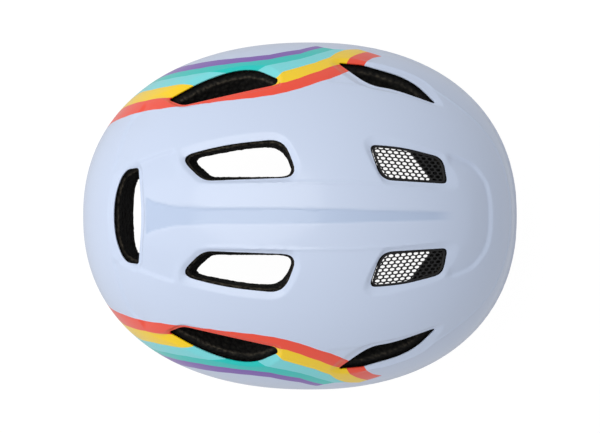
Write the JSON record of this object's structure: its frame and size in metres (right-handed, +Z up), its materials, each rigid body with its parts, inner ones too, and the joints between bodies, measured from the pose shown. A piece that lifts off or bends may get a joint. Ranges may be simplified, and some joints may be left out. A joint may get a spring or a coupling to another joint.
{
  "type": "cycling helmet",
  "caption": "Small child's rounded cycling helmet: pale glossy shell over foam, vents with insect net in front, dial-adjusted head-band, pads and buckled chin straps.",
  "frame": {"origin": "centre of the head opening, level with the lowest point of the foam rim", "axes": "the helmet faces -Y, +Z is up and +X is the wearer's left"},
  "size_m": [0.196, 0.245, 0.2525],
  "materials": {
    "shell": "glossy, pale lilac with five coloured bands round each side",
    "trim": "satin",
    "foam": "beaded expanded foam, black",
    "net": "fine black netting",
    "padding": "soft knitted cover over foam",
    "hook_tape": "hook tape",
    "hard_plastic": "moulded, fine texture",
    "dial_grey": "moulded, satin",
    "webbing": "woven, ribbed",
    "keeper_rubber": "matt",
    "steel": "plain"
  },
  "bodies": {
    "helmet": {"outer_shell": "shell", "rim_trim": "trim", "foam_liner": "foam", "bug_mesh_left": "net", "bug_mesh_right": "net", "brow_pad": "padding", "crown_pad": "padding", "side_pad_left": "padding", "side_pad_right": "padding", "rear_pad_left": "padding", "rear_pad_right": "padding", "brow_hook_left": "hook_tape", "brow_hook_right": "hook_tape", "side_hook_left": "hook_tape", "side_hook_right": "hook_tape", "crown_hook_front": "hook_tape", "crown_hook_rear": "hook_tape", "temple_anchor_left": "hard_plastic", "temple_anchor_right": "hard_plastic", "height_clip_left": "hard_plastic", "height_clip_right": "hard_plastic", "strap_anchor_front_left": "hard_plastic", "strap_anchor_front_right": "hard_plastic", "strap_anchor_rear_left": "hard_plastic", "strap_anchor_rear_right": "hard_plastic", "strap_front_left": "webbing", "strap_front_right": "webbing", "strap_rear_left": "webbing", "strap_rear_right": "webbing", "strap_lower_left": "webbing", "strap_tail": "webbing", "splitter_left": "hard_plastic", "splitter_right": "hard_plastic", "splitter_pin_left": "steel", "splitter_pin_right": "steel", "buckle_female": "hard_plastic"},
    "retention": {"cradle": "hard_plastic", "dial_housing": "hard_plastic", "cover_screw_left": "steel", "cover_screw_right": "steel", "belt_left": "hard_plastic", "belt_right": "hard_plastic"},
    "dial": {"dial_knob": "dial_grey", "pinion": "hard_plastic", "ratchet_spring": "steel", "dial_screw": "steel"},
    "left_rack": {"rack_left": "hard_plastic"},
    "right_rack": {"rack_right": "hard_plastic"},
    "left_lever": {"splitter_lever_left": "dial_grey"},
    "right_lever": {"splitter_lever_right": "dial_grey"},
    "keeper": {"strap_keeper": "keeper_rubber"},
    "buckle_plug": {"buckle_male": "hard_plastic", "chin_pad": "padding", "strap_lower_right": "webbing"},
    "front_arm": {"buckle_arm_front": "hard_plastic"},
    "rear_arm": {"buckle_arm_rear": "hard_plastic"}
  },
  "joints": [
    {"name": "retention_tilt", "type": "hinge", "parent": "helmet", "child": "retention", "pos_m": [0.0705, -0.042, 0.024], "axis": [1, 0, 0], "range_deg": [-6, 6]},
    {"name": "dial_turn", "type": "hinge", "parent": "retention", "child": "dial", "pos_m": [0, 0.0755, -0.012], "axis": [0, 1, 0], "range_deg": [-90, 90]},
    {"name": "left_rack_slide", "type": "slide", "parent": "retention", "child": "left_rack", "axis": [1, 0, 0], "range_m": [-0.0079, 0.0079], "deforming": ["belt_left"]},
    {"name": "right_rack_slide", "type": "slide", "parent": "retention", "child": "right_rack", "axis": [1, 0, 0], "range_m": [-0.0079, 0.0079], "deforming": ["belt_right"]},
    {"name": "left_lever_open", "type": "hinge", "parent": "helmet", "child": "left_lever", "pos_m": [0.077, -0.003, -0.053], "axis": [0, -1, 0], "range_deg": [0, 90]},
    {"name": "right_lever_open", "type": "hinge", "parent": "helmet", "child": "right_lever", "pos_m": [-0.077, -0.003, -0.053], "axis": [0, 1, 0], "range_deg": [0, 90]},
    {"name": "keeper_slide", "type": "slide", "parent": "helmet", "child": "keeper", "axis": [-0.8464, -0.3103, -0.4328], "range_m": [-0.004, 0.004]},
    {"name": "buckle_release", "type": "slide", "parent": "helmet", "child": "buckle_plug", "axis": [-1, 0, 0], "range_m": [0, 0.02], "deforming": ["strap_lower_right", "buckle_arm_front", "buckle_arm_rear"]},
    {"name": "front_arm_press", "type": "hinge", "parent": "buckle_plug", "child": "front_arm", "pos_m": [0.006, -0.0277, -0.106], "axis": [0, 0, 1], "range_deg": [0, 12], "stiffness_Nm_per_rad": 0.05},
    {"name": "rear_arm_press", "type": "hinge", "parent": "buckle_plug", "child": "rear_arm", "pos_m": [0.006, -0.0123, -0.106], "axis": [0, 0, -1], "range_deg": [0, 12], "stiffness_Nm_per_rad": 0.05}
  ],
  "couplings": [
    {"joint": "left_rack_slide", "follows": "dial_turn", "m_per_rad": 0.005},
    {"joint": "right_rack_slide", "follows": "dial_turn", "m_per_rad": -0.005}
  ]
}
